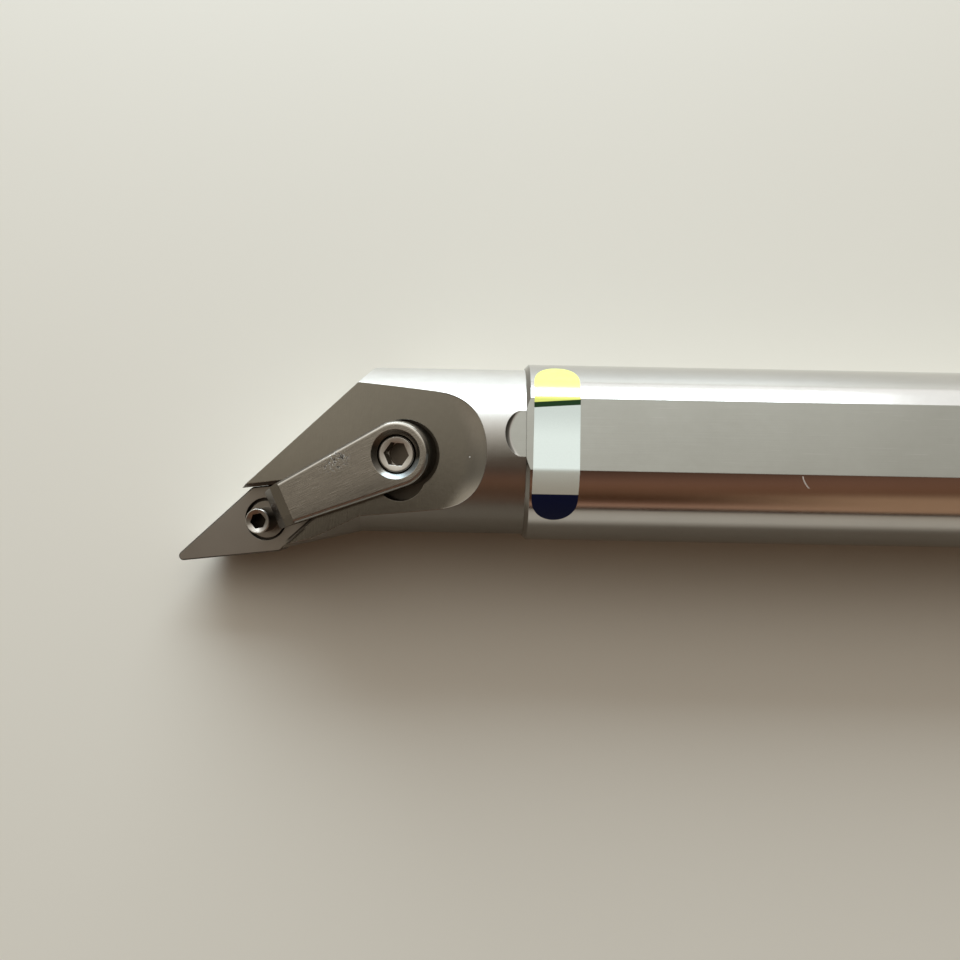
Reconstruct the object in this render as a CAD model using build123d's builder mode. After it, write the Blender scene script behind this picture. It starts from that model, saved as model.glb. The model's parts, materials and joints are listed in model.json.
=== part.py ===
from build123d import *
import os
from math import cos, radians, sin, tan

os.makedirs("parts", exist_ok=True)

# Sizes are in millimetres. X runs along the bar's axis towards the rear of the shank,
# Z points up out of the shank's upper flat, and X is zero at the shoulder.
shank_diameter = 25.0
shank_height = 23.0
overall_length = 200.0
head_length = 52.0
rear_chamfer = 1.2
shoulder_chamfer = 0.55
head_diameter = 23.44
run_out_length = 3.45
run_out_drop = 0.21
run_out_radius = 5.0
run_out_corner = 0.8
lobe_diameter = 32.4
lobe_full_x = -36.0
lobe_rear_x = -23.0
stock_ahead = 6.0

# The head's milled face leans back along the bar and down towards the cutting edge.
axial_rake = 6.81
radial_rake = 12.79
face_height_on_axis = 10.29
cutter_radius = 14.5
cutter_corner = 3.5
cutter_along = 18.2
cutter_across = 10.1
cutter_height = 14.0
face_reach = 26.0

# The pocket takes a 35 degree diamond insert on a seat plate of the same outline.
inscribed_diameter = 9.525
diamond_angle = 35.0
nose_radius = 0.66
insert_thickness = 4.77
seat_thickness = 3.18
seat_edge_break = 0.18
hole_x = -37.2
hole_y = -10.21
insert_turn = 24.65
wall_gap = 0.02
wall_relief = 0.5
wall_straight = 1.0
corner_relief_radius = 1.0
corner_relief_along = 15.2
front_lean = 10.6
front_offset = 0.83
front_lip_depth = 1.2
support_inset = 0.35
clearance_angle = 7.0
lobe_foot_along = 14.0
lobe_foot_across = -7.4
lobe_depth = 16.0
lobe_height = 8.0

# The lock pin holds the seat plate down and its stub goes through the insert's hole.
pin_thread_radius = 2.4
pin_thread_gap = 0.05
pin_thread_length = 6.0
pin_along = 0.13
pin_across = -0.07
pin_collar_radius = 2.64
pin_collar_height = 1.0
pin_collar_proud = 0.1
pin_stub_radius = 1.75
pin_stub_height = 4.0
pin_stub_chamfer = 0.12
pin_socket_flats = 2.0
pin_socket_turn = -13.0
pin_socket_depth = 2.5
pin_mouth_radius = 1.6
pin_mouth_angle = 120.0
seat_hole_radius = 2.55
seat_counterbore_radius = 3.06

# The clamp arm turns and lifts on a double-ended screw behind the pocket.
screw_along = 22.7
screw_across = 0.27
screw_core_radius = 2.45
screw_hole_radius = 2.5
screw_neck_radius = 2.1
screw_neck_height = 1.2
screw_neck_level = -2.2
screw_top = 3.3
screw_length = 16.0
screw_chamfer = 0.2
screw_socket_flats = 3.0
screw_socket_depth = 3.5
screw_hole_depth = 14.5
heel_clearance = 0.15
recess_rear_along = 23.07
recess_rear_across = 0.03
recess_rear_radius = 4.81
recess_side_along = 21.38
recess_side_across = -2.23
recess_side_radius = 3.55
recess_depth = 3.0
arm_gap = 0.05
arm_top = 3.8
arm_heel_radius = 4.45
arm_heel_depth = 2.6
arm_taper = 5.05
arm_length = 19.5
arm_slope_start = 16.3
arm_slope_end = 18.0
arm_slope_level = 2.5
arm_nose_level = 0.6
arm_corner = 1.0
arm_edge_radius = 0.6
arm_hole_radius = 2.6
arm_countersink_radius = 3.3

# A paper label is wrapped over the upper flat just behind the shoulder.
label_front = 0.45
label_rear = 6.6
label_gap = 0.03
label_thickness = 0.1
label_half_width = 10.5
label_shift = -0.23
label_corner_along = 2.9
label_corner_across = 2.8

shank_radius = shank_diameter / 2
head_radius = head_diameter / 2
half_height = shank_height / 2
shank_rear = overall_length - head_length
half_angle = radians(diamond_angle / 2)
insert_radius = inscribed_diameter / 2
clear_of_part = 40.0

face_normal = Vector(-tan(radians(axial_rake)), -tan(radians(radial_rake)), 1).normalized()
along_face = (Vector(1, 0, 0) - face_normal * face_normal.X).normalized()
across_face = face_normal.cross(along_face)
hole_face_height = (
    face_height_on_axis + tan(radians(axial_rake)) * hole_x + tan(radians(radial_rake)) * hole_y
)
hole_centre = Vector(
    hole_x, hole_y, hole_face_height - insert_thickness / face_normal.Z
)


def face_direction(angle):
    return along_face * cos(radians(angle)) + across_face * sin(radians(angle))


insert_direction = face_direction(insert_turn)
seat = Plane(origin=hole_centre, x_dir=along_face, z_dir=face_normal)
pocket = Plane(origin=hole_centre, x_dir=insert_direction, z_dir=face_normal)
milled_face = seat.offset(insert_thickness)

front_edge = face_direction(insert_turn + diamond_angle / 2)
front_section = Plane(
    origin=hole_centre, x_dir=face_normal.cross(front_edge), z_dir=front_edge
)
cutter_centre = milled_face.from_local_coords((cutter_along, cutter_across, 0))
cutter_section = Plane(
    origin=cutter_centre, x_dir=along_face, z_dir=along_face.cross(face_normal)
)
run_out_centre = Vector(run_out_radius - run_out_length, 0, half_height - run_out_drop)
run_out_section = Plane(origin=run_out_centre, x_dir=(1, 0, 0), z_dir=(0, -1, 0))
pin_centre = pocket.from_local_coords((pin_along, pin_across, 0))
pin_plane = Plane(origin=pin_centre, x_dir=insert_direction, z_dir=face_normal)
screw_centre = pocket.from_local_coords((screw_along, screw_across, insert_thickness))
arm_plane = Plane(origin=screw_centre, x_dir=-insert_direction, z_dir=face_normal)
arm_section = Plane(
    origin=screw_centre, x_dir=-insert_direction, z_dir=face_normal.cross(insert_direction)
)


def diamond_wedge(distance, reach):
    # The two walls at this distance from the hole meet at the rear corner of the diamond.
    apex = distance / sin(half_angle)
    spread = (apex + reach) * tan(half_angle)
    return [(apex, 0), (-reach, spread), (-reach, -spread)]


def lobe_outline(level):
    # The raised side is widest level with the seat plate's top and leans in above and below it.
    edge = insert_radius - support_inset - abs(level) * tan(radians(clearance_angle))
    tip = edge / sin(half_angle)
    corner_across = -(support_inset + tip) * tan(half_angle)
    foot_across = lobe_foot_across + abs(level) * tan(radians(clearance_angle))
    return [
        (-tip, 0),
        (support_inset, corner_across),
        (lobe_foot_along, foot_across),
        (lobe_foot_along * 2, foot_across),
        (lobe_foot_along, lobe_foot_along),
        (0, lobe_foot_along),
    ]


with BuildPart() as bar_body:
    # The raised side of the head, which carries the seat plate out past the shank.
    with BuildSketch(Plane.XZ):
        with BuildLine():
            Polyline(
                (-head_length - stock_ahead, 0),
                (-head_length - stock_ahead, lobe_diameter / 2),
                (lobe_full_x, lobe_diameter / 2),
                (lobe_rear_x, head_radius),
                (lobe_rear_x, 0),
                close=True,
            )
        make_face()
    revolve(axis=Axis.X)
    for level in (-lobe_depth, 0, lobe_height):
        with BuildSketch(pocket.offset(level)):
            with BuildLine():
                Polyline(*lobe_outline(level), close=True)
            make_face()
    loft(ruled=True, mode=Mode.INTERSECT)

    # The round head, trimmed in front to the line of the insert's leading edge.
    with BuildSketch(Plane.YZ.offset(-head_length - stock_ahead)):
        Circle(head_radius)
    extrude(amount=head_length + stock_ahead)
    with BuildSketch(front_section):
        with BuildLine():
            Polyline(
                (insert_radius + front_offset - clear_of_part * tan(radians(front_lean)), clear_of_part),
                (insert_radius + front_offset, 0),
                (insert_radius + front_offset, -front_lip_depth),
                (
                    insert_radius - support_inset - front_lip_depth * tan(radians(clearance_angle)),
                    -front_lip_depth,
                ),
                (
                    insert_radius - support_inset - clear_of_part * tan(radians(clearance_angle)),
                    -clear_of_part,
                ),
                (clear_of_part, -clear_of_part),
                (clear_of_part, clear_of_part),
                close=True,
            )
        make_face()
    extrude(amount=clear_of_part, both=True, mode=Mode.SUBTRACT)

    # The lower flat runs the whole length, the upper one ends in a round run-out on the head.
    with BuildSketch(Plane.XY.offset(-half_height)):
        with Locations((-head_length / 2, 0)):
            Rectangle(head_length * 2, clear_of_part)
    extrude(amount=-shank_diameter, mode=Mode.SUBTRACT)
    with BuildSketch(run_out_section):
        with BuildLine():
            Line((0, 0), (run_out_radius - run_out_corner, 0))
            RadiusArc(
                (run_out_radius - run_out_corner, 0),
                (run_out_radius, run_out_corner),
                -run_out_corner,
            )
            Line((run_out_radius, run_out_corner), (run_out_radius, run_out_radius))
            Line((run_out_radius, run_out_radius), (0, run_out_radius))
            Line((0, run_out_radius), (0, 0))
        make_face()
    revolve(axis=Axis(run_out_centre, (0, 0, 1)), mode=Mode.SUBTRACT)

    # The milled face: a flat that leaves the head at the front and a round-cornered end behind.
    with BuildSketch(milled_face):
        with BuildLine():
            Polyline(
                (cutter_along, face_reach),
                (-face_reach, face_reach + insert_thickness),
                (-face_reach, -face_reach),
                (cutter_along, cutter_across - cutter_radius),
                close=True,
            )
        make_face()
    extrude(amount=cutter_height, mode=Mode.SUBTRACT)
    with BuildSketch(cutter_section):
        with BuildLine():
            Line((0, 0), (cutter_radius - cutter_corner, 0))
            RadiusArc(
                (cutter_radius - cutter_corner, 0), (cutter_radius, cutter_corner), -cutter_corner
            )
            Line((cutter_radius, cutter_corner), (cutter_radius, cutter_height))
            Line((cutter_radius, cutter_height), (0, cutter_height))
            Line((0, cutter_height), (0, 0))
        make_face()
    revolve(axis=Axis(cutter_centre, face_normal), mode=Mode.SUBTRACT)

    # The pocket, straight beside the seat plate and relieved above it.
    with BuildSketch(pocket.offset(-seat_thickness)):
        with BuildLine():
            Polyline(*diamond_wedge(insert_radius + wall_gap, clear_of_part), close=True)
        make_face()
        with Locations((corner_relief_along, 0)):
            Circle(corner_relief_radius)
    extrude(amount=seat_thickness + insert_thickness + cutter_height, mode=Mode.SUBTRACT)
    wall_lean = wall_relief / (insert_thickness - wall_straight)
    for level in (wall_straight, face_height_on_axis):
        wall_distance = insert_radius + wall_gap + (level - wall_straight) * wall_lean
        with BuildSketch(pocket.offset(level)):
            with BuildLine():
                Polyline(*diamond_wedge(wall_distance, clear_of_part), close=True)
            make_face()
    loft(ruled=True, mode=Mode.SUBTRACT)

    # The recess for the clamp arm's heel is three overlapping rounds, the first about the screw.
    with BuildSketch(pocket.offset(insert_thickness - recess_depth)):
        with Locations((screw_along, screw_across)):
            Circle(arm_heel_radius + heel_clearance)
        with Locations((recess_rear_along, recess_rear_across)):
            Circle(recess_rear_radius)
        with Locations((recess_side_along, recess_side_across)):
            Circle(recess_side_radius)
    extrude(amount=cutter_height, mode=Mode.SUBTRACT)

    # The holes for the clamp screw and the lock pin.
    with BuildSketch(arm_plane):
        Circle(screw_hole_radius)
    extrude(amount=-screw_hole_depth, mode=Mode.SUBTRACT)
    with BuildSketch(pin_plane):
        Circle(pin_thread_radius + pin_thread_gap)
    extrude(amount=-clear_of_part, mode=Mode.SUBTRACT)

    # The shank, a round bar with two flats.
    with BuildSketch(Plane.YZ.offset(-shoulder_chamfer)):
        Circle(shank_radius)
        Rectangle(shank_diameter, shank_height, mode=Mode.INTERSECT)
    extrude(amount=shank_rear + shoulder_chamfer)
    with BuildSketch(Plane.XZ):
        with BuildLine():
            Polyline(
                (-shoulder_chamfer, shank_radius - shoulder_chamfer),
                (0, shank_radius),
                (0, shank_diameter),
                (-shoulder_chamfer, shank_diameter),
                close=True,
            )
        make_face()
        with BuildLine():
            Polyline(
                (shank_rear - rear_chamfer, shank_radius),
                (shank_rear, shank_radius - rear_chamfer),
                (shank_rear, shank_diameter),
                (shank_rear - rear_chamfer, shank_diameter),
                close=True,
            )
        make_face()
    revolve(axis=Axis.X, mode=Mode.SUBTRACT)

bar_body.part.label = "bar_body"
export_step(bar_body.part, "parts/bar_body.step")


with BuildPart() as seat_plate:
    with BuildSketch(pocket.offset(-seat_thickness)) as diamond:
        with BuildLine():
            Polyline(
                (-insert_radius / sin(half_angle), 0),
                (0, -insert_radius / cos(half_angle)),
                (insert_radius / sin(half_angle), 0),
                (0, insert_radius / cos(half_angle)),
                close=True,
            )
        make_face()
        fillet(diamond.vertices(), radius=nose_radius)
    extrude(amount=seat_thickness)
    chamfer(faces().sort_by(Axis(hole_centre, face_normal))[-1].edges(), length=seat_edge_break)
    with Locations(pocket):
        CounterBoreHole(seat_hole_radius, seat_counterbore_radius, pin_collar_height)

seat_plate.part.label = "seat_plate"
export_step(seat_plate.part, "parts/seat_plate.step")


with BuildPart() as lock_pin:
    with BuildSketch(pin_plane.offset(-seat_thickness - pin_thread_length)):
        Circle(pin_thread_radius)
    extrude(amount=seat_thickness + pin_thread_length)
    with BuildSketch(pin_plane.offset(-pin_collar_height)):
        Circle(pin_collar_radius)
    extrude(amount=pin_collar_height + pin_collar_proud)
    with BuildSketch(pin_plane):
        Circle(pin_stub_radius)
    extrude(amount=pin_stub_height)
    chamfer(faces().sort_by(Axis(pin_centre, face_normal))[-1].edges(), length=pin_stub_chamfer)
    with BuildSketch(pin_plane.offset(pin_stub_height)):
        RegularPolygon(
            pin_socket_flats / 2, side_count=6, major_radius=False, rotation=pin_socket_turn
        )
    extrude(amount=-pin_socket_depth, mode=Mode.SUBTRACT)
    with Locations(pin_plane.offset(pin_stub_height)):
        CounterSinkHole(
            pin_socket_flats / 2,
            pin_mouth_radius,
            depth=pin_socket_depth,
            counter_sink_angle=pin_mouth_angle,
        )

lock_pin.part.label = "lock_pin"
export_step(lock_pin.part, "parts/lock_pin.step")


with BuildPart() as clamp_screw:
    with BuildSketch(arm_plane.offset(screw_top - screw_length)):
        Circle(screw_core_radius)
    extrude(amount=screw_length)
    chamfer(faces().sort_by(Axis(screw_centre, face_normal))[-1].edges(), length=screw_chamfer)
    chamfer(faces().sort_by(Axis(screw_centre, face_normal))[0].edges(), length=screw_chamfer)
    with BuildSketch(arm_plane.offset(screw_neck_level)):
        Circle(screw_core_radius)
        Circle(screw_neck_radius, mode=Mode.SUBTRACT)
    extrude(amount=-screw_neck_height, mode=Mode.SUBTRACT)
    with BuildSketch(arm_plane.offset(screw_top)):
        RegularPolygon(screw_socket_flats / 2, side_count=6, major_radius=False, rotation=30)
    extrude(amount=-screw_socket_depth, mode=Mode.SUBTRACT)

clamp_screw.part.label = "clamp_screw"
export_step(clamp_screw.part, "parts/clamp_screw.step")


with BuildPart() as clamp_arm:
    taper = radians(arm_taper)
    tip_half_width = arm_heel_radius / cos(taper) - arm_length * tan(taper)
    shoulder_along = arm_heel_radius * sin(taper)
    shoulder_across = arm_heel_radius * cos(taper)
    with BuildSketch(arm_plane.offset(arm_gap)) as outline:
        with BuildLine():
            CenterArc((0, 0), arm_heel_radius, 90 - arm_taper, 180 + 2 * arm_taper)
            Polyline(
                (shoulder_along, -shoulder_across),
                (arm_length, -tip_half_width),
                (arm_length, tip_half_width),
                (shoulder_along, shoulder_across),
            )
        make_face()
        fillet(outline.vertices().sort_by(Axis(screw_centre, -insert_direction))[-2:], arm_corner)
    extrude(amount=arm_top - arm_gap)
    top_face = faces().sort_by(Axis(screw_centre, face_normal))[-1]
    fillet(top_face.edges(), radius=arm_edge_radius)
    with BuildSketch(arm_section):
        with BuildLine():
            Polyline(
                (arm_slope_start, arm_top),
                (arm_slope_end, arm_slope_level),
                (arm_length, arm_nose_level),
                (arm_length + arm_top, arm_nose_level),
                (arm_length + arm_top, arm_top + arm_slope_level),
                (arm_slope_start, arm_top + arm_slope_level),
                close=True,
            )
        make_face()
    extrude(amount=clear_of_part, both=True, mode=Mode.SUBTRACT)
    with BuildSketch(arm_plane.offset(-arm_heel_depth)):
        Circle(arm_heel_radius)
    extrude(amount=arm_heel_depth + arm_nose_level)
    with Locations(arm_plane.offset(arm_top)):
        CounterSinkHole(arm_hole_radius, arm_countersink_radius, counter_sink_angle=90)

clamp_arm.part.label = "clamp_arm"
export_step(clamp_arm.part, "parts/clamp_arm.step")


with BuildPart() as label_band:
    with BuildSketch(Plane.YZ.offset(label_front)):
        Circle(shank_radius + label_gap + label_thickness)
        Rectangle(
            shank_diameter * 2,
            shank_height + 2 * (label_gap + label_thickness),
            mode=Mode.INTERSECT,
        )
    extrude(amount=label_rear - label_front)
    with BuildSketch(Plane.YZ.offset(label_front)):
        Circle(shank_radius + label_gap)
        Rectangle(shank_diameter * 2, shank_height + 2 * label_gap, mode=Mode.INTERSECT)
    extrude(amount=label_rear - label_front, mode=Mode.SUBTRACT)
    with BuildSketch(Plane.XY) as label_plan:
        with Locations(((label_front + label_rear) / 2, label_shift)):
            Rectangle(label_rear - label_front, 2 * (label_half_width - label_corner_across))
            Rectangle(label_rear - label_front - 2 * label_corner_along, 2 * label_half_width)
            with GridLocations(
                label_rear - label_front - 2 * label_corner_along,
                2 * (label_half_width - label_corner_across),
                2,
                2,
            ):
                Ellipse(label_corner_along, label_corner_across)
    extrude(amount=shank_diameter, mode=Mode.INTERSECT)

label_band.part.label = "label_band"
export_step(label_band.part, "parts/label_band.step")
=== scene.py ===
import json
from math import asin, atan2, cos, pi, radians, sin, sqrt

import bpy
import numpy as np
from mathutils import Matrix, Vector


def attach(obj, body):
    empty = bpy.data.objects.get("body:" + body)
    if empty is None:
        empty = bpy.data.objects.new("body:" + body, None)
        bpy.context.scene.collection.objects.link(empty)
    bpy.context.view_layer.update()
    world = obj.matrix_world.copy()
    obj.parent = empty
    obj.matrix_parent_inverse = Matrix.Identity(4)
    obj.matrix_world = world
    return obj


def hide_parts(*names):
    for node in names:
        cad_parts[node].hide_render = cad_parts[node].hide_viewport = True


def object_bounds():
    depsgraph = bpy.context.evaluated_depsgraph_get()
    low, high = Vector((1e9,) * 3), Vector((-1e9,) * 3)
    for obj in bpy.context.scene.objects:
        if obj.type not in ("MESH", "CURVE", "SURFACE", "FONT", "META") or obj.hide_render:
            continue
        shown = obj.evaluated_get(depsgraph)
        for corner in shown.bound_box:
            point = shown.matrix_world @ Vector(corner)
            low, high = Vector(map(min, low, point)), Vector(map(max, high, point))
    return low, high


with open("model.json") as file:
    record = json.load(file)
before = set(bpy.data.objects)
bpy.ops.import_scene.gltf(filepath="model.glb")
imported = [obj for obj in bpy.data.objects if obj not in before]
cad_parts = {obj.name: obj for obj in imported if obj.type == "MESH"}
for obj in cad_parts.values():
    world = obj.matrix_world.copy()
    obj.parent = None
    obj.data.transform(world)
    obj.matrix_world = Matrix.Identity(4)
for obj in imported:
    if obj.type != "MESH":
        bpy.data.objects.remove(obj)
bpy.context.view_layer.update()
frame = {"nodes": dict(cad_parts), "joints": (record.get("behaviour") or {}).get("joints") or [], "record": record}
mm = 0.001
print("frame loaded")

mounts = {mount["name"]: mount for mount in frame["record"]["mounts"]}
swing = next(joint for joint in frame["joints"] if joint["name"] == "clamp_swing")
faceNormal = np.array(swing["axis"]) / np.linalg.norm(swing["axis"])
screwCentre = np.array(swing["pos_m"])
seatPoint = np.array(mounts["insert_seat"]["pos_m"])
pinPoint = np.array(mounts["insert_pin"]["pos_m"])
pinCentre = pinPoint - faceNormal * np.dot(pinPoint - seatPoint, faceNormal)
shankRadius = mounts["shank"]["dims"]["r_mm"] * mm
flatHeight = -mounts["shank_lower_flat"]["pos_m"][2]
flatHalfWidth = sqrt(shankRadius**2 - flatHeight**2)

armTurn = radians(24.65)  # the arm's angle on the milled face, from the bar's own direction
alongFace = np.array([1.0, 0.0, 0.0]) - faceNormal * faceNormal[0]
alongFace /= np.linalg.norm(alongFace)
acrossFace = np.cross(faceNormal, alongFace)
armDirection = -(cos(armTurn) * alongFace + sin(armTurn) * acrossFace)
armAcross = np.cross(faceNormal, armDirection)
pinOffset = (0.13, -0.07)  # from the pin to the middle of the seat plate's hole, along and across the arm
holeCentre = pinCentre + (armDirection * pinOffset[0] + armAcross * pinOffset[1]) * mm

# the insert's outline: a diamond round a circle, with a sharp corner of twice this angle
insertRadius = 9.525 / 2
halfCorner = radians(17.5)
levelEnough = (0.9985, 0.9995)  # a surface counts as level between these cosines of its lean


class Wire:
    # an output socket, on which ordinary arithmetic adds Math nodes
    def __init__(self, graph, socket):
        self.graph = graph
        self.socket = socket

    def math(self, operation, *others):
        values = dict(enumerate((self,) + others))
        return self.graph.node("Math", {"operation": operation}, values)

    def __add__(self, other):
        return self.math("ADD", other)

    __radd__ = __add__

    def __sub__(self, other):
        return self.math("SUBTRACT", other)

    def __rsub__(self, other):
        return self.graph.node("Math", {"operation": "SUBTRACT"}, {0: other, 1: self})

    def __mul__(self, other):
        return self.math("MULTIPLY", other)

    __rmul__ = __mul__

    def __truediv__(self, other):
        return self.math("DIVIDE", other)

    def __abs__(self):
        return self.math("ABSOLUTE")

    def larger(self, other):
        return self.math("MAXIMUM", other)

    def smaller(self, other):
        return self.math("MINIMUM", other)

    def parts(self):
        split = self.graph.node("SeparateXYZ", {}, {0: self}).socket.node
        return [Wire(self.graph, socket) for socket in split.outputs]

    def minus(self, place):
        return self.graph.node("VectorMath", {"operation": "SUBTRACT"}, {0: self, 1: tuple(place)})

    def dot(self, direction):
        values = {0: self, 1: tuple(direction)}
        return self.graph.node("VectorMath", {"operation": "DOT_PRODUCT"}, values, "Value")

    def length(self):
        return self.graph.node("VectorMath", {"operation": "LENGTH"}, {0: self}, "Value")

    def step(self, low, high):
        # 0 below low, 1 above high and a smooth slope between, or the other way when low is the larger
        values = {"Value": self, "From Min": low, "From Max": high}
        return self.graph.node("MapRange", {"interpolation_type": "SMOOTHSTEP"}, values)


class Graph:
    # the node tree of one material or of the world
    def __init__(self, owner):
        owner.use_nodes = True
        self.tree = owner.node_tree
        self.tree.nodes.clear()

    def node(self, kind, settings=None, values=None, output=0):
        added = self.tree.nodes.new("ShaderNode" + kind)
        for name, setting in (settings or {}).items():
            if name == "stops":
                setStops(added.color_ramp, setting)
            else:
                setattr(added, name, setting)
        for key, value in (values or {}).items():
            if isinstance(value, Wire):
                self.tree.links.new(value.socket, added.inputs[key])
            else:
                added.inputs[key].default_value = value
        return Wire(self, added.outputs[output]) if added.outputs else None

    def place(self):
        # the point in millimetres, in the part's own frame
        point = self.node("TexCoord", output="Object")
        return self.node("VectorMath", {"operation": "SCALE"}, {0: point, "Scale": 1 / mm})

    def facing(self):
        return self.node("TexCoord", output="Normal")

    def join(self, x, y, z):
        return self.node("CombineXYZ", {}, {0: x, 1: y, 2: z})

    def noise(self, point, scale, detail=2.0, roughness=0.5):
        values = {"Vector": point, "Scale": scale, "Detail": detail, "Roughness": roughness}
        return self.node("TexNoise", {}, values)

    def grain(self, point, axes, scales, detail=2.0):
        # noise whose grains have a different length along each of three directions
        along = [point.dot(axis) * scale for axis, scale in zip(axes, scales)]
        return self.noise(self.join(*along), 1.0, detail)

    def blend(self, share, first, second):
        values = {0: share, 6: first, 7: second}
        return self.node("Mix", {"data_type": "RGBA"}, values, 2)

    def shade(self, tone, share):
        # a colour made darker or lighter by a share
        settings = {"data_type": "RGBA", "blend_type": "MULTIPLY"}
        return self.node("Mix", settings, {0: 1.0, 6: tone, 7: share}, 2)

    def grey(self, value):
        return self.join(value, value, value)

    def pick(self, share, first, second):
        return self.node("Mix", {}, {0: share, 2: first, 3: second})

    def turned(self, normal, share, direction):
        # a normal turned by a share towards one direction
        values = {0: share, 4: normal, 5: tuple(direction)}
        return self.node("Mix", {"data_type": "VECTOR"}, values, 1)

    def metal(self, tone, roughness, height, depth, edge, metallic=1.0, flattened=None):
        # the finished surface: height is a share of depth, edge rounds the corners that catch light,
        # and flattened holds a share and the direction that the normals are turned to
        normal = self.node("Bevel", {"samples": 6}, {"Radius": edge})
        if flattened:
            normal = self.turned(normal, *flattened)
        bump = {"Strength": 1.0, "Distance": depth, "Height": height, "Normal": normal}
        values = {"Base Color": tone, "Metallic": metallic, "Roughness": roughness}
        values["Normal"] = self.node("Bump", {}, bump)
        surface = self.node("BsdfPrincipled", {}, values)
        self.node("OutputMaterial", {}, {"Surface": surface})


def setStops(ramp, stops):
    while len(ramp.elements) < len(stops):
        ramp.elements.new(1.0)
    for element, (position, tone) in zip(ramp.elements, stops):
        element.position = position
        element.color = tone


def colour(*tone):
    return tone + (1.0,)


def dress(piece, name, makeNodes):
    material = bpy.data.materials.new(name)
    makeNodes(Graph(material))
    piece.data.materials.clear()
    piece.data.materials.append(material)


def addPiece(name, points, faces, sharpAngle):
    mesh = bpy.data.meshes.new(name)
    mesh.from_pydata(points.tolist(), [], faces)
    mesh.polygons.foreach_set("use_smooth", np.ones(len(mesh.polygons), dtype=bool))
    mesh.set_sharp_from_angle(angle=sharpAngle)
    piece = bpy.data.objects.new(name, mesh)
    bpy.context.scene.collection.objects.link(piece)
    return piece


def wrapRings(name, rings, sharpAngle):
    # rows of points whose last column joins the first; a fan round its middle closes each end
    rows, columns = rings.shape[:2]
    flat = rings.reshape(-1, 3)
    points = np.vstack([flat, rings[0].mean(axis=0), rings[-1].mean(axis=0)])
    row, column = np.meshgrid(np.arange(rows - 1), np.arange(columns), indexing="ij")
    here = row * columns + column
    beside = row * columns + (column + 1) % columns
    walls = np.stack([here, beside, beside + columns, here + columns], axis=-1).reshape(-1, 4)
    column = np.arange(columns)
    beside = (column + 1) % columns
    last = (rows - 1) * columns
    middle = np.full(columns, rows * columns)
    firstEnd = np.stack([beside, column, middle], axis=-1)
    lastEnd = np.stack([last + column, last + beside, middle + 1], axis=-1)
    return addPiece(name, points, walls.tolist() + firstEnd.tolist() + lastEnd.tolist(), sharpAngle)


# the bar: a satin head, a ground shank, milled flats and a pocket darkened with painted shade
barLook = {
    "headTone": colour(0.49, 0.475, 0.45),
    "headRoughness": 0.32,
    "paintedHighlightTone": colour(0.74, 0.73, 0.71),
    "shankTone": colour(0.60, 0.59, 0.575),
    "shankRoughness": 0.14,
    "flatTone": colour(0.475, 0.48, 0.445),
    "flatRoughness": 0.36,
    "faceTone": colour(0.50, 0.485, 0.44),
    "faceRoughness": 0.15,
    "runOutTone": colour(0.45, 0.435, 0.40),
    "runOutRoughness": 0.22,
    "runOutFlatness": 0.82,
    # painted shade colour, for the bar's dark places and the top of the pocket walls
    "paintedShadeTone": colour(0.13, 0.115, 0.095),
    "pocketShadeTone": colour(0.26, 0.235, 0.20),
    "pocketRoughness": 0.46,
    "glintTone": colour(0.93, 0.92, 0.90),
    "scratchShare": 0.10,
    "edgeRound": 0.00012,
    "grooveDepth": 0.000012,
    # places in millimetres; in a pair, a mask begins at the first value and is full at the second
    "shankFrom": (-0.6, -0.5),
    "tongueTop": (11.24, 11.27),
    "flatTop": (11.56, 11.52),
    "tongueEnd": (-4.2, -3.9),
    "headRound": (11.70, 11.60),
    "cutterPlace": (18.2, 10.1),
    "cutterReach": (14.8, 14.6),
    "runOutFrom": (10.6, 12.6),
    "risingFrom": (10.2, 10.8),
    "pocketFloor": (-8.1, -8.0),
    "pocketRoom": 0.75,
    "recessRounds": (((0.0, 0.0), 4.6), ((-0.37, 0.24), 4.81), ((1.32, 2.50), 3.55)),
    "slitGap": 0.52,
    "nickStart": (35.73, -5.05),
    "nickLength": 1.6,
    "speck": (-8.00, -2.76, 8.71),
}


def cutPlaces(graph, point, facing):
    # masks for the milled face and its run-out, a ring round the cutter's axis inside the head's round
    look = barLook
    x, y, z = point.parts()
    lean = facing.dot(faceNormal)
    level = point.minus(screwCentre / mm).dot(faceNormal)
    fromHole = point.minus(holeCentre / mm)
    fromCutter = graph.join(fromHole.dot(alongFace), fromHole.dot(acrossFace), 0.0)
    fromCutter = fromCutter.minus(look["cutterPlace"] + (0.0,)).length()
    inCut = fromCutter.step(*look["cutterReach"]) * x.step(-22, -21) * lean.step(0.0, 0.15)
    inCut = inCut * graph.join(y, z, 0.0).length().step(*look["headRound"])
    runOut = fromCutter.step(*look["runOutFrom"]) * inCut
    rising = fromCutter.step(*look["risingFrom"]) * inCut
    face = lean.step(*levelEnough) * level.step(-0.1, -0.05)
    return face.larger(rising), rising, runOut


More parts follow.
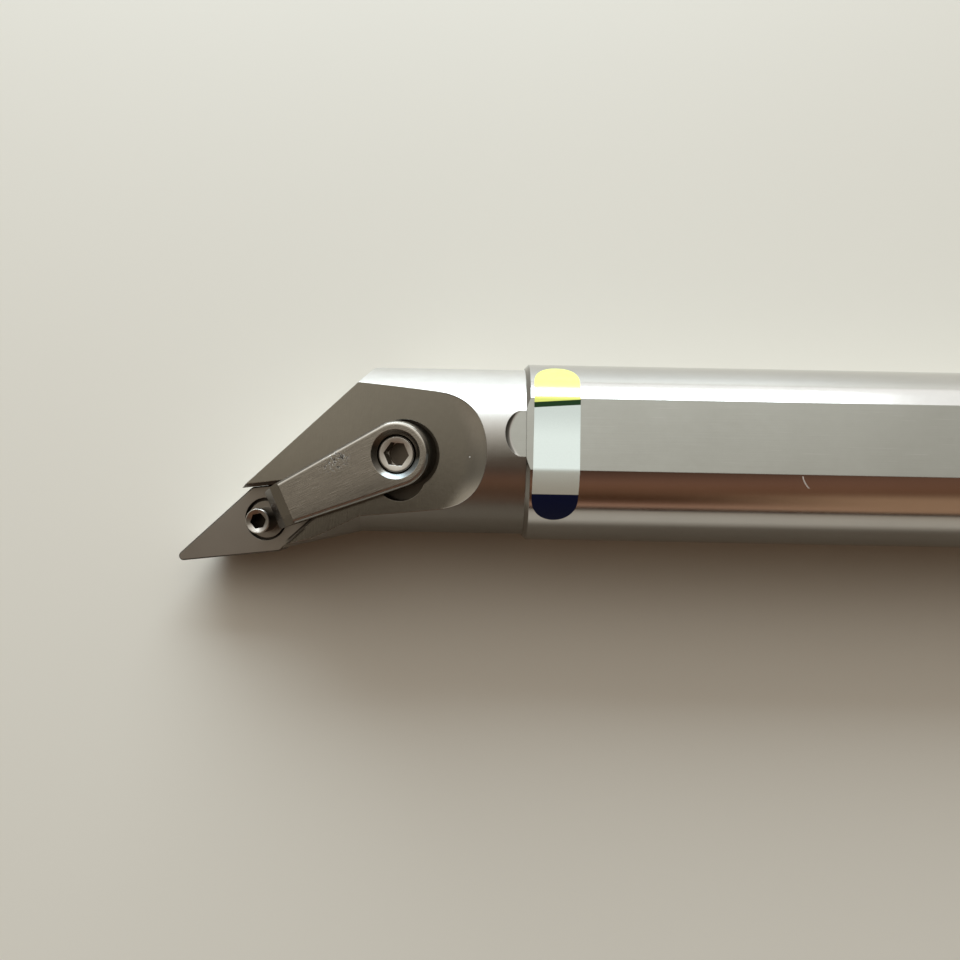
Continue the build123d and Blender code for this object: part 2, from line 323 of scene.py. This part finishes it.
def pocketPlaces(graph, point):
    # masks for the pocket with the arm's recess, and for the shade at the top of their walls
    look = barLook
    x, _, z = point.parts()
    level = point.minus(screwCentre / mm).dot(faceNormal)
    fromHole = point.minus(holeCentre / mm)
    sideways = abs(fromHole.dot(armAcross))
    rearwards = fromHole.dot(-armDirection)
    inside = insertRadius + look["pocketRoom"]
    inside = inside - rearwards * sin(halfCorner) - sideways * cos(halfCorner)
    below = level.step(-0.03, -0.08)
    pocket = inside.step(0.0, 0.02) * below * level.step(*look["pocketFloor"]) * x.step(-10, -12)
    fromScrew = point.minus(screwCentre / mm)
    fromScrew = graph.join(fromScrew.dot(armDirection), fromScrew.dot(armAcross), 0.0)
    for (outwards, aside), radius in look["recessRounds"]:
        reach = fromScrew.minus((outwards, aside, 0.0)).length()
        pocket = pocket.larger(reach.step(radius + 0.07, radius + 0.03) * below * z.step(-5, -4))
    return pocket, pocket * level.step(-2.6, -0.6)


def paintedShadePlaces(point, facing, shank, face, pocket, runOut):
    # how dark each place is, all painted: the head's underside and low on the shank (a painted dark reflection
    # of the shaded floor), and painted shade on the shoulder, the scoop behind the tongue and the slit by the
    # pocket's lower wall
    look = barLook
    x, y, z = point.parts()
    below = facing.dot((0, -1, 0))
    fromHole = point.minus(holeCentre / mm)
    aside = fromHole.dot(armAcross)
    rearwards = fromHole.dot(-armDirection)
    underside = (1 - shank) * below.step(0.5, 0.85) * (1 - pocket) * (1 - runOut)
    lowShank = shank * below.step(0.845, 0.91)
    shoulder = facing.dot((-1, 0, 0)).step(0.35, 0.6) * abs(x).step(1.2, 1.0)
    scoop = x.step(-1.8, -2.2) * z.step(11.2, 11.24) * abs(y).step(3.3, 3.2)
    scoop = scoop * facing.dot((0, 0, 1)).step(0.998, 0.985) * facing.dot((1, 0, 0)).step(0.1, 0.3)
    fromEdge = insertRadius + look["slitGap"] - rearwards * sin(halfCorner) - aside * cos(halfCorner)
    slit = fromEdge.step(-0.30, -0.20) * face * aside.step(0, 1)
    slit = slit * rearwards.step(1.4, 2.4) * rearwards.step(6.6, 6.0)
    paintedShade = (underside * 0.8).larger(lowShank * 0.75).larger(shoulder * 0.8)
    return paintedShade.larger(scoop * 0.8).larger(slit * 0.9)


def brightMarks(point, facing):
    # a curved nick in the shank, and one bright speck on the milled face
    look = barLook
    x, y, _ = point.parts()
    down = (look["nickStart"][1] - y) / look["nickLength"]
    beside = abs(x - look["nickStart"][0] - down * 0.3 - down * down * 0.8)
    nick = beside.step(0.15, 0.05) * down.step(0.0, 0.08) * down.step(1.0, 0.9)
    nick = nick * facing.dot((0, 0, 1)).step(0, 0.1)
    return nick.larger(point.minus(look["speck"]).length().step(0.15, 0.10))


def barSteel(graph):
    look = barLook
    point = graph.place()
    x, y, z = point.parts()
    facing = graph.facing()
    shank = x.step(*look["shankFrom"])
    flat = abs(facing.dot((0, 0, 1))).step(*levelEnough)
    flat = flat * abs(z).step(*look["tongueTop"]) * abs(z).step(*look["flatTop"])
    flat = flat * x.step(*look["tongueEnd"]).larger(z.step(0, -1))
    face, rising, runOut = cutPlaces(graph, point, facing)
    pocket, wallShade = pocketPlaces(graph, point)
    paintedShade = paintedShadePlaces(point, facing, shank, face, pocket, runOut)
    bright = brightMarks(point, facing)
    paintedHighlightSide = (1 - shank) * facing.dot((0, 1, 0)).step(0.5, 0.8)  # the head's side towards the window, painted lighter: a painted highlight
    # painted light and shade on the run-out: lighter towards the window and towards the lower edge, darker between
    runOutShading = 0.67 + y.step(-4.5, 2.5) * 0.8 + y.step(-5.0, -8.6) * 0.9

    cloud = graph.noise(point, 0.11, 3.0)
    mottle = graph.noise(point, 0.9, 4.0, 0.6)
    rings = graph.grain(point, np.eye(3), (14.0, 0.25, 0.25), 3.0)
    lengthwise = graph.grain(point, np.eye(3), (0.10, 9.0, 9.0), 4.0)
    faceCuts = graph.grain(point, (alongFace, acrossFace, faceNormal), (7.0, 0.5, 0.5), 3.0)
    scratches = graph.grain(point, np.eye(3), (0.16, 5.0, 5.0), 1.0).step(0.70, 0.78)

    tone = graph.blend(shank, look["headTone"], look["shankTone"])
    tone = graph.blend(paintedHighlightSide, tone, look["paintedHighlightTone"])
    tone = graph.blend(flat, tone, look["flatTone"])
    tone = graph.blend(face, tone, look["faceTone"])
    tone = graph.blend(runOut, tone, graph.shade(look["runOutTone"], graph.grey(runOutShading)))
    # painted shade and painted dark reflection on the places listed above
    tone = graph.blend(paintedShade, tone, look["paintedShadeTone"])
    # painted shade: the pocket and the recess darker, darker still at the top of their walls
    tone = graph.blend(pocket, tone, look["pocketShadeTone"])
    tone = graph.blend(wallShade * 0.8, tone, look["paintedShadeTone"])
    tone = graph.shade(tone, graph.grey(0.90 + cloud * 0.12 + mottle * 0.07))
    glint = (scratches * shank * look["scratchShare"]).larger(bright)
    tone = graph.blend(glint, tone, look["glintTone"])

    roughness = graph.pick(shank, look["headRoughness"], look["shankRoughness"])
    roughness = graph.pick(flat, roughness, look["flatRoughness"])
    roughness = graph.pick(face, roughness, look["faceRoughness"])
    roughness = graph.pick(runOut, roughness, look["runOutRoughness"])
    roughness = graph.pick(pocket, roughness, look["pocketRoughness"])
    roughness = roughness * (0.86 + cloud * 0.14 + mottle * 0.14)

    height = graph.pick(shank, rings * 0.9 + mottle * 0.3, rings * 0.22)
    height = graph.pick(flat, height, lengthwise * 0.5 + mottle * 0.2)
    height = graph.pick(face, height, faceCuts * 0.4 + mottle * 0.3)
    flattened = (rising * look["runOutFlatness"], faceNormal)
    graph.metal(tone, roughness, height, look["grooveDepth"], look["edgeRound"], 1 - bright, flattened)


dress(frame["nodes"]["bar_body"], "barSteel", barSteel)
print("bar finished")


# the seat plate: ground carbide, darker than the bar
seatLook = {
    "tone": colour(0.50, 0.47, 0.43),
    # painted shade colour, for the counterbore, the plate's sides and the slit by the wall
    "paintedShadeTone": colour(0.05, 0.042, 0.034),
    "roughness": 0.36,
    "counterbore": 3.1,
    "slit": (0.26, 0.34, 0.52, 0.60),
    "grainDepth": 0.000010,
    "edgeRound": 0.00008,
}


def seatCarbide(graph):
    look = seatLook
    point = graph.place()
    cloud = graph.noise(point, 0.16, 3.0)
    grain = graph.noise(point, 7.0, 4.0, 0.7)
    grinding = graph.grain(point, (armDirection, armAcross, faceNormal), (0.3, 11.0, 11.0), 3.0)
    fromHole = point.minus(holeCentre / mm)
    level = fromHole.dot(faceNormal)
    across = graph.join(fromHole.dot(armDirection), fromHole.dot(armAcross), 0.0).length()
    # painted shade: the counterbore, the plate's sides and chamfers, and a slit line along the pocket's lower wall
    seatShade = across.step(look["counterbore"], look["counterbore"] - 0.05) * level.step(-0.04, -0.08)
    seatShade = seatShade.larger(graph.facing().dot(faceNormal).step(0.97, 0.93))
    rearwards = fromHole.dot(-armDirection)
    fromWall = insertRadius - rearwards * sin(halfCorner) - fromHole.dot(armAcross) * cos(halfCorner)
    inner, lineFrom, lineTo, outer = look["slit"]
    slit = fromWall.step(inner, lineFrom) * fromWall.step(outer, lineTo)
    slit = slit + fromWall.step(lineFrom, inner) * 0.4
    seatShade = seatShade.larger(slit * rearwards.step(1.2, 2.2))
    tone = graph.shade(look["tone"], graph.grey(0.86 + cloud * 0.18 + grain * 0.08))
    tone = graph.blend(seatShade * 0.9, tone, look["paintedShadeTone"])
    roughness = look["roughness"] * (0.85 + 0.3 * grain)
    height = grinding * 0.6 + grain * 0.4
    graph.metal(tone, roughness, height, look["grainDepth"], look["edgeRound"])


dress(frame["nodes"]["seat_plate"], "seatCarbide", seatCarbide)


# the lock pin: turned steel, with painted shade in its socket and a painted dark reflection on its stub's side
pinLook = {
    "tone": colour(0.46, 0.43, 0.39),
    "shadedSideTone": colour(0.09, 0.075, 0.06),
    "socketShadeTone": colour(0.05, 0.042, 0.035),
    "roughness": 0.30,
    "socketRadius": 1.18,
    "edgeRound": 0.00006,
    "grooveDepth": 0.000010,
}


def pinSteel(graph):
    look = pinLook
    point = graph.place().minus(pinCentre / mm)
    level = point.dot(faceNormal)
    lean = graph.facing().dot(faceNormal)
    across = graph.join(point.dot(armDirection), point.dot(armAcross), 0.0).length()
    inSocket = across.step(look["socketRadius"] + 0.04, look["socketRadius"]) * lean.step(0.5, 0.2)
    inSocket = inSocket.larger(across.step(1.2, 1.1) * level.step(3.0, 2.6))
    stubSide = across.step(1.5, 1.6) * lean.step(0.45, 0.2)
    mottle = graph.noise(point, 2.2, 4.0, 0.6)
    turning = graph.noise(graph.join(level * 9.0, across * 9.0, 0.0), 1.0, 3.0)
    tone = graph.shade(look["tone"], graph.grey(0.80 + mottle * 0.35))
    # painted dark reflection on the stub's side, and painted shade in the socket
    tone = graph.blend(stubSide, tone, look["shadedSideTone"])
    tone = graph.blend(inSocket, tone, look["socketShadeTone"])
    roughness = look["roughness"] * (0.8 + mottle * 0.4)
    height = turning * 0.7 + mottle * 0.5
    graph.metal(tone, roughness, height, look["grooveDepth"], look["edgeRound"])


dress(frame["nodes"]["lock_pin"], "pinSteel", pinSteel)
print("seat plate and lock pin finished")


# the clamp arm: brushed lengthwise, with worn corners and a patch of pits by its upper edge; painted shade
# and painted dark reflection darken its sides, nose, tip, lower fillet and lower edge
armLook = {
    "tone": colour(0.54, 0.515, 0.47),
    "streakTone": colour(0.78, 0.76, 0.72),
    "pitTone": colour(0.07, 0.06, 0.05),
    "shadedSideTone": colour(0.15, 0.135, 0.115),
    "shadedNoseTone": colour(0.13, 0.11, 0.085),
    "shadedTipTone": colour(0.12, 0.105, 0.09),
    "paintedFilletTone": colour(0.36, 0.39, 0.39),
    "roughness": 0.24,
    "pitCentre": (7.8, -2.3),
    "pitReach": (2.5, 1.5),
    "flecksPerMm": 2.2,
    "noseFrom": 16.2,
    "edgeRound": 0.00012,
    "brushDepth": 0.00002,
}


def armSteel(graph):
    look = armLook
    point = graph.place().minus(screwCentre / mm)
    outwards = point.dot(armDirection)
    sideways = point.dot(armAcross)
    level = point.dot(faceNormal)
    lean = graph.facing().dot(faceNormal)
    axes = (armDirection, armAcross, faceNormal)

    brush = graph.grain(point, axes, (0.55, 13.0, 9.0), 4.0)
    broadBrush = graph.grain(point, axes, (0.22, 2.2, 2.0), 3.0)
    mottle = graph.noise(point, 1.3, 4.0, 0.6)
    streaks = graph.grain(point, axes, (0.45, 7.0, 5.0), 2.0).step(0.60, 0.76)
    alongPatch = (outwards - look["pitCentre"][0]) / look["pitReach"][0]
    acrossPatch = (sideways - look["pitCentre"][1]) / look["pitReach"][1]
    fromPatch = graph.join(alongPatch, acrossPatch, 0.0).length()
    patch = fromPatch.step(1.15, 0.35) * level.step(3.6, 3.75)
    flecks = graph.noise(point, look["flecksPerMm"], 5.0, 0.75)
    pits = flecks.step(0.545, 0.575) * patch
    scuff = streaks * fromPatch.step(2.2, 0.6)
    worn = lean.step(0.985, 0.96) * lean.step(0.89, 0.92) * mottle.step(0.3, 0.55)  # the upper edge
    onTop = lean.step(0.96, 0.995)
    side = lean.step(0.89, 0.84)
    onNose = outwards.step(look["noseFrom"], look["noseFrom"] + 0.15) * lean.step(0.88, 0.85)
    onTip = onNose * lean.step(0.74, 0.70) * lean.step(0.3, 0.5)
    lowerFillet = lean.step(0.99, 0.95) * lean.step(0.4, 0.6) * sideways.step(1.4, 2.0)
    lowerEdge = sideways.step(0.0, 3.4) * outwards.step(-1, 3)
    wear = (streaks * onTop * 0.32 + scuff * 0.3 + worn * 0.5).smaller(1.0)

    # painted dark reflection: darker towards the lower edge
    brushed = graph.grey(0.78 + broadBrush * 0.30 + brush * 0.24 - lowerEdge * 0.28)
    tone = graph.shade(look["tone"], brushed)
    # painted shade and painted dark reflection on the steep sides, the lower fillet, the nose and its tip
    tone = graph.blend(side, tone, look["shadedSideTone"])
    tone = graph.blend(lowerFillet, tone, look["paintedFilletTone"])
    tone = graph.blend(onNose, tone, look["shadedNoseTone"])
    tone = graph.blend(onTip, tone, look["shadedTipTone"])
    tone = graph.blend(wear, tone, look["streakTone"])
    tone = graph.blend(pits, tone, look["pitTone"])
    roughness = look["roughness"] * (0.8 + brush * 0.5) * (1 - worn * 0.35) + pits * 0.35
    roughness = roughness + lowerFillet * 0.14
    height = brush * (0.6 * onTop + 0.15) + mottle * 0.25 - pits * 0.8
    graph.metal(tone, roughness, height, look["brushDepth"], look["edgeRound"])


dress(frame["nodes"]["clamp_arm"], "armSteel", armSteel)
print("clamp arm finished")


# the clamp screw: two opposite threads either side of a neck, and a hex socket in its top
screwForm = {
    "top": 3.3,
    "length": 16.0,
    "crest": 2.45,
    "threadDepth": 0.38,
    "pitch": 1.0,
    "endChamfer": 0.45,
    "headRadius": 2.42,
    "headReach": 0.75,
    "headChamfer": 0.16,
    "mouthRadius": 2.13,
    "mouthSlope": 0.2,
    "neckTop": -2.2,
    "neckBottom": -3.4,
    "neckRadius": 2.05,
    "socketFlats": 3.0,
    "socketDepth": 3.5,
    "drillHeight": 0.6,
    "drillShare": 0.98,
    "floorShare": 0.96,
    "aroundCount": 96,
    "perTurn": 14,
}


def threadRadius(level, turn, hand):
    # the radius swings from root to crest once a pitch, later or earlier by the turn round the screw
    form = screwForm
    phase = (level / form["pitch"] - hand * turn / (2 * pi)) % 1.0
    ridge = np.clip(1.75 - 4.0 * np.abs(phase - 0.5), 0.0, 1.0)
    return form["crest"] - form["threadDepth"] * (1 - ridge)


def hexRadius(turn, flats):
    # half the flats divided by the cosine of the angle from the nearest flat's middle
    fromFlat = (turn + radians(30)) % radians(60) - radians(30)
    return flats / 2 / np.cos(fromFlat)


def screwRings():
    # a circle of points at each level: the radius follows the thread, fades into the neck and the head
    # at the thread's ends, and then turns in over the head and down the socket
    form = screwForm
    turn = np.arange(form["aroundCount"]) * 2 * pi / form["aroundCount"]
    bottom = form["top"] - form["length"]
    threadTop = form["top"] - form["headReach"]
    step = form["pitch"] / form["perTurn"]
    lower = np.arange(bottom, form["neckBottom"], step)
    upper = np.arange(form["neckTop"], threadTop, step)
    rows = []
    for level in lower:
        limit = form["crest"] - max(0.0, form["endChamfer"] - (level - bottom))
        runOut = min(1.0, (form["neckBottom"] - level) / form["pitch"])
        radius = threadRadius(level, turn, 1)  # right-handed
        radius = form["neckRadius"] + (radius - form["neckRadius"]) * runOut
        rows.append((np.minimum(radius, limit), level))
    rows.append((np.full_like(turn, form["neckRadius"]), form["neckBottom"]))
    rows.append((np.full_like(turn, form["neckRadius"]), form["neckTop"]))
    for level in upper:
        runOut = min(1.0, (level - form["neckTop"]) / form["pitch"])
        radius = threadRadius(level, turn, -1)  # left-handed
        radius = form["neckRadius"] + (radius - form["neckRadius"]) * runOut
        blend = min(1.0, (threadTop - level) / form["pitch"])
        rows.append((form["headRadius"] + (radius - form["headRadius"]) * blend, level))
    head = form["headRadius"]
    socket = hexRadius(turn, form["socketFlats"])
    floor = form["top"] - form["socketDepth"]
    mouthFoot = form["top"] - (form["mouthRadius"] - socket) * form["mouthSlope"]
    rows.append((np.full_like(turn, head), threadTop))
    rows.append((np.full_like(turn, head), form["top"] - form["headChamfer"]))
    rows.append((np.full_like(turn, head - form["headChamfer"]), form["top"]))
    rows.append((np.full_like(turn, form["mouthRadius"]), form["top"]))
    rows.append((socket, mouthFoot))
    drill = form["socketFlats"] / 2
    rows.append((socket, floor + form["drillHeight"]))
    rows.append((np.full_like(turn, drill * form["drillShare"]), floor + form["drillHeight"] - 0.02))
    rows.append((np.full_like(turn, drill * form["floorShare"]), floor))
    radius = np.array([row[0] for row in rows])[..., None] * mm
    level = np.array([turn * 0 + row[1] for row in rows])[..., None] * mm
    spin = np.cos(turn)[:, None] * armDirection + np.sin(turn)[:, None] * armAcross
    return screwCentre + radius * spin + level * faceNormal


screwLook = {
    "tone": colour(0.68, 0.66, 0.63),
    "socketShadeTone": colour(0.10, 0.08, 0.065),
    "floorTone": colour(0.24, 0.21, 0.18),
    "threadTone": colour(0.34, 0.32, 0.29),
    "rimTone": colour(0.88, 0.85, 0.80),
    "roughness": 0.24,
    "edgeRound": 0.00005,
    "grooveDepth": 0.000012,
}


def screwSteel(graph):
    look = screwLook
    point = graph.place().minus(screwCentre / mm)
    level = point.dot(faceNormal)
    across = graph.join(point.dot(armDirection), point.dot(armAcross), 0.0).length()
    mottle = graph.noise(point, 1.8, 4.0, 0.6)
    turning = graph.noise(graph.join(level * 6.0, across * 12.0, 0.0), 1.0, 3.0)
    lean = graph.facing().dot(faceNormal)
    inSocket = across.step(1.80, 1.74) * lean.step(0.5, 0.3)
    onFloor = across.step(1.60, 1.55) * level.step(1.0, 0.6)
    onThread = level.step(2.75, 2.55) * across.step(1.9, 2.0)
    tone = graph.shade(look["tone"], graph.grey(0.78 + mottle * 0.4))
    onRim = across.step(2.24, 2.16) * lean.step(0.8, 0.9)
    tone = graph.blend(onRim, tone, look["rimTone"])
    # painted shade: the thread seen below the head, the socket's walls and its floor are darker
    tone = graph.blend(onThread, tone, look["threadTone"])
    tone = graph.blend(inSocket, tone, look["socketShadeTone"])
    tone = graph.blend(onFloor, tone, look["floorTone"])
    roughness = look["roughness"] * (0.75 + mottle * 0.5) + onThread * 0.12 + onRim * 0.12
    height = turning * 0.6 + mottle * 0.4
    graph.metal(tone, roughness, height, look["grooveDepth"], look["edgeRound"])


clampScrew = wrapRings("clampScrew", screwRings(), radians(35))
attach(clampScrew, "clamp_screw")
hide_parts("clamp_screw")
dress(clampScrew, "screwSteel", screwSteel)
print("clamp screw threaded")


# the label: printed film wrapped over the flat's two edges
labelForm = {
    "front": 0.40,
    "rear": 6.55,
    "tilt": 0.012,
    "gap": 0.03,
    "thickness": 0.09,
    "topReach": 11.8,
    "footReach": 12.63,
    "topEnd": 4.0,
    "footEnd": 3.6,
    "endPower": 2.0,
    "rowCount": 180,
    "columnCount": 40,
}


def labelRings():
    # each row goes along the label's top and back along its underside; the rows follow the flat, then
    # the round of the shank, by the length of paper from the middle
    form = labelForm
    radius = shankRadius / mm
    height = flatHeight / mm
    edge = flatHalfWidth / mm
    startAngle = asin(edge / radius)
    spread = np.sin(np.linspace(-pi / 2, pi / 2, form["rowCount"]))
    reach = np.where(spread > 0, form["topReach"], form["footReach"])
    endLength = np.where(spread > 0, form["topEnd"], form["footEnd"])
    run = spread * reach
    share = np.clip((np.abs(run) - (reach - endLength)) / endLength, 0, 1)
    halfLength = (form["rear"] - form["front"]) / 2
    width = halfLength * np.clip(1 - share ** form["endPower"], 1e-4, 1) ** (1 / form["endPower"])
    angle = startAngle + np.maximum(np.abs(run) - edge, 0) / radius
    onRound = np.abs(run) > edge
    side = np.sign(run)
    lean = np.where(onRound, angle, 0.0) * side
    baseY = np.where(onRound, radius * np.sin(angle) * side, run)
    baseZ = np.where(onRound, radius * np.cos(angle), height)
    column = np.linspace(-1, 1, form["columnCount"])
    loop = np.concatenate([column, column[::-1]])
    lift = np.concatenate(
        [np.full(len(column), form["gap"] + form["thickness"]), np.full(len(column), form["gap"])]
    )
    middle = (form["rear"] + form["front"]) / 2
    x = middle + width[:, None] * loop + form["tilt"] * run[:, None]
    y = baseY[:, None] + np.sin(lean)[:, None] * lift
    z = baseZ[:, None] + np.cos(lean)[:, None] * lift
    paper = np.stack([x, np.broadcast_to(run[:, None], x.shape)], axis=-1)
    return np.stack([x, y, z], axis=-1) * mm, paper


paperScale = 10.0  # millimetres of paper for each unit of the label's UV map

labelLook = {
    "yellow": colour(0.88, 0.92, 0.16),
    "green": colour(0.006, 0.034, 0.006),
    "white": colour(0.87, 0.93, 0.87),
    "navy": colour(0.0022, 0.008, 0.060),
    "greenFrom": (4.24, 4.70),
    "greenTo": (3.51, 3.97),
    "navyFrom": -8.27,
    "coatIor": 1.8,
    "coatRoughness": 0.12,
    "specular": 0.2,
    "edgeBlur": 0.03,
    "roughness": 0.30,
    "fibreDepth": 0.000008,
}


def labelPrint(graph):
    look = labelLook
    paper = graph.node("TexCoord", output="UV")
    x, run, _ = [part * paperScale for part in paper.parts()]
    slant = (x - labelForm["front"]) / (labelForm["rear"] - labelForm["front"])
    greenTop = look["greenFrom"][0] + slant * (look["greenFrom"][1] - look["greenFrom"][0])
    greenFoot = look["greenTo"][0] + slant * (look["greenTo"][1] - look["greenTo"][0])
    fibre = graph.noise(graph.join(x, run, 0.0), 3.5, 5.0, 0.65)
    speckle = graph.noise(graph.join(x, run, 0.0), 14.0, 2.0)
    blur = look["edgeBlur"]
    belowGreen = (run - greenFoot).step(blur, -blur)
    aboveGreen = (run - greenTop).step(-blur, blur)
    tone = graph.blend(belowGreen, look["green"], look["white"])
    tone = graph.blend(aboveGreen, tone, look["yellow"])
    onNavy = (run - look["navyFrom"]).step(blur, -blur)
    tone = graph.blend(onNavy, tone, look["navy"])
    # painted shade: the white darkens towards the green band
    shadeNearGreen = belowGreen * run.step(-1.0, 3.5)
    tone = graph.shade(tone, graph.grey(0.93 + fibre * 0.08 + speckle * 0.05 - shadeNearGreen * 0.2))
    roughness = (look["roughness"] + onNavy * 0.36) * (0.8 + fibre * 0.4)
    height = fibre * 0.7 + speckle * 0.3
    bump = graph.node("Bump", {}, {"Strength": 1.0, "Distance": look["fibreDepth"], "Height": height})
    values = {"Base Color": tone, "Roughness": roughness, "Normal": bump}
    values["Specular IOR Level"] = look["specular"]
    values["Coat Weight"] = aboveGreen
    values["Coat IOR"] = look["coatIor"]
    values["Coat Roughness"] = look["coatRoughness"]
    surface = graph.node("BsdfPrincipled", {}, values)
    graph.node("OutputMaterial", {}, {"Surface": surface})


labelPoints, labelPaper = labelRings()
label = wrapRings("printedLabel", labelPoints, radians(50))
corners = np.zeros(len(label.data.loops), dtype=np.int32)
label.data.loops.foreach_get("vertex_index", corners)
endPoints = [labelPaper[0].mean(axis=0), labelPaper[-1].mean(axis=0)]
paperPoints = np.vstack([labelPaper.reshape(-1, 2)] + endPoints)
paperMap = label.data.uv_layers.new(name="paper")
paperMap.data.foreach_set("uv", (paperPoints[corners] / paperScale).ravel())
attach(label, "bar")
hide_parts("label_band")
dress(label, "labelPrint", labelPrint)
print("label wrapped")


# floor, light and camera
stageLook = {
    "floorTone": colour(0.705, 0.66, 0.58),
    "floorRoughness": 0.5,
    "floorSpecular": 0.3,
    "floorSize": 3.0,
    "windowPlace": (-0.07, 0.52, 0.25),
    "windowSize": (0.64, 0.29),
    "windowPower": 4.2,
    "windowTone": (0.78, 0.91, 1.0),
    "glowTone": colour(0.41, 0.25, 0.15),
    "figureTone": colour(0.03, 0.02, 0.012),
}


def floorPaint(graph):
    point = graph.place()
    cloud = graph.noise(point, 0.01, 2.0)
    tone = graph.shade(stageLook["floorTone"], graph.grey(0.98 + cloud * 0.03))
    values = {"Base Color": tone, "Roughness": stageLook["floorRoughness"]}
    values["Specular IOR Level"] = stageLook["floorSpecular"]
    surface = graph.node("BsdfPrincipled", {}, values)
    graph.node("OutputMaterial", {}, {"Surface": surface})


def makeFloor():
    half = stageLook["floorSize"] / 2
    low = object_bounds()[0][2]
    points = np.array([(-half, -half, low), (half, -half, low), (half, half, low), (-half, half, low)])
    floor = addPiece("floor", points, [(0, 1, 2, 3)], radians(30))
    dress(floor, "floorPaint", floorPaint)


# the room's light by direction: bright towards the window, grey overhead, brown behind the viewer
roomLight = [
    (0.21, colour(0.11, 0.07, 0.045)),
    (0.34, colour(0.20, 0.165, 0.125)),
    (0.42, colour(0.32, 0.29, 0.24)),
    (0.50, colour(0.47, 0.43, 0.36)),
    (0.62, colour(0.74, 0.70, 0.63)),
    (0.76, colour(1.35, 1.33, 1.26)),
    (1.00, colour(1.40, 1.40, 1.36)),
]

# the light behind the viewer by height above the horizon
viewerSide = [
    (0.00, colour(0.03, 0.018, 0.012)),
    (0.06, colour(0.035, 0.02, 0.014)),
    (0.11, colour(0.38, 0.22, 0.145)),
    (0.15, colour(0.36, 0.20, 0.13)),
    (0.21, colour(0.15, 0.075, 0.045)),
    (0.28, colour(0.075, 0.034, 0.017)),
    (0.35, colour(0.075, 0.034, 0.016)),
    (0.43, colour(0.13, 0.063, 0.033)),
    (0.56, colour(0.19, 0.092, 0.052)),
    (0.66, colour(0.20, 0.10, 0.062)),
    (0.72, colour(0.12, 0.062, 0.041)),
    (0.78, colour(0.05, 0.03, 0.02)),
]


def roomSky(graph):
    towards = graph.node("TexCoord", output="Generated")
    x, y, z = towards.parts()
    east = x / z
    north = y / z
    overHead = z.step(0.2, 0.4)
    tone = graph.node("ValToRGB", {"stops": roomLight}, {0: y * 0.5 + 0.5})
    low = graph.node("ValToRGB", {"stops": viewerSide}, {0: z})

    # a warm glow low on the right, behind the viewer
    glow = x.step(0.18, 0.42) * z.step(0.52, 0.36) * z.step(0.05, 0.09)
    low = graph.blend(glow * 0.95, low, stageLook["glowTone"])
    tone = graph.blend(y.step(-0.46, -0.56), tone, low)

    # the viewer's own dark shape overhead, weaker on its right
    figure = (north - 0.4 * east - 0.12).step(-0.212, -0.265) * east.step(-0.54, -0.48) * overHead
    figure = figure * (1 - 0.7 * east.step(-0.31, -0.28)) * north.step(-0.7, -0.6)
    tone = graph.blend(figure, tone, stageLook["figureTone"])

    # a faint lamp beside the viewer, and less light towards both ends of the room
    besideViewer = north.step(-0.31, -0.25) * north.step(0.0, -0.1) * overHead
    lamp = 1 + 0.25 * east.step(-0.36, -0.44) * besideViewer
    strength = (1 - 0.7 * x.step(0.35, 0.9) - 0.45 * x.step(-0.4, -0.95)) * lamp
    sky = graph.node("Background", {}, {"Color": tone, "Strength": strength})
    graph.node("OutputWorld", {}, {"Surface": sky})


def makeLights():
    world = bpy.data.worlds.new("room")
    bpy.context.scene.world = world
    roomSky(Graph(world))
    lamp = bpy.data.lights.new("window", "AREA")
    lamp.shape = "RECTANGLE"
    lamp.size, lamp.size_y = stageLook["windowSize"]
    lamp.energy = stageLook["windowPower"]
    lamp.color = stageLook["windowTone"]
    window = bpy.data.objects.new("window", lamp)
    window.location = stageLook["windowPlace"]
    _, y, z = stageLook["windowPlace"]
    window.rotation_euler = (-atan2(y, z), 0.0, 0.0)
    bpy.context.scene.collection.objects.link(window)


viewpoint = {
    "place": (-0.00621, -0.03033, 0.13482),
    "pitch": radians(10.972),
    "yaw": radians(0.171),
    "roll": radians(1.092),
    "lens": 36.0,
    "sensor": 36.0,
    "nearest": 0.005,
}


def makeCamera():
    data = bpy.data.cameras.new("camera")
    data.lens = viewpoint["lens"]
    data.sensor_width = viewpoint["sensor"]
    data.clip_start = viewpoint["nearest"]
    camera = bpy.data.objects.new("camera", data)
    camera.rotation_mode = "ZYX"
    camera.location = viewpoint["place"]
    camera.rotation_euler = (viewpoint["pitch"], viewpoint["yaw"], viewpoint["roll"])
    bpy.context.scene.collection.objects.link(camera)
    bpy.context.scene.camera = camera


makeFloor()
makeLights()
makeCamera()
bpy.context.scene.view_settings.view_transform = "Standard"
print("stage set")
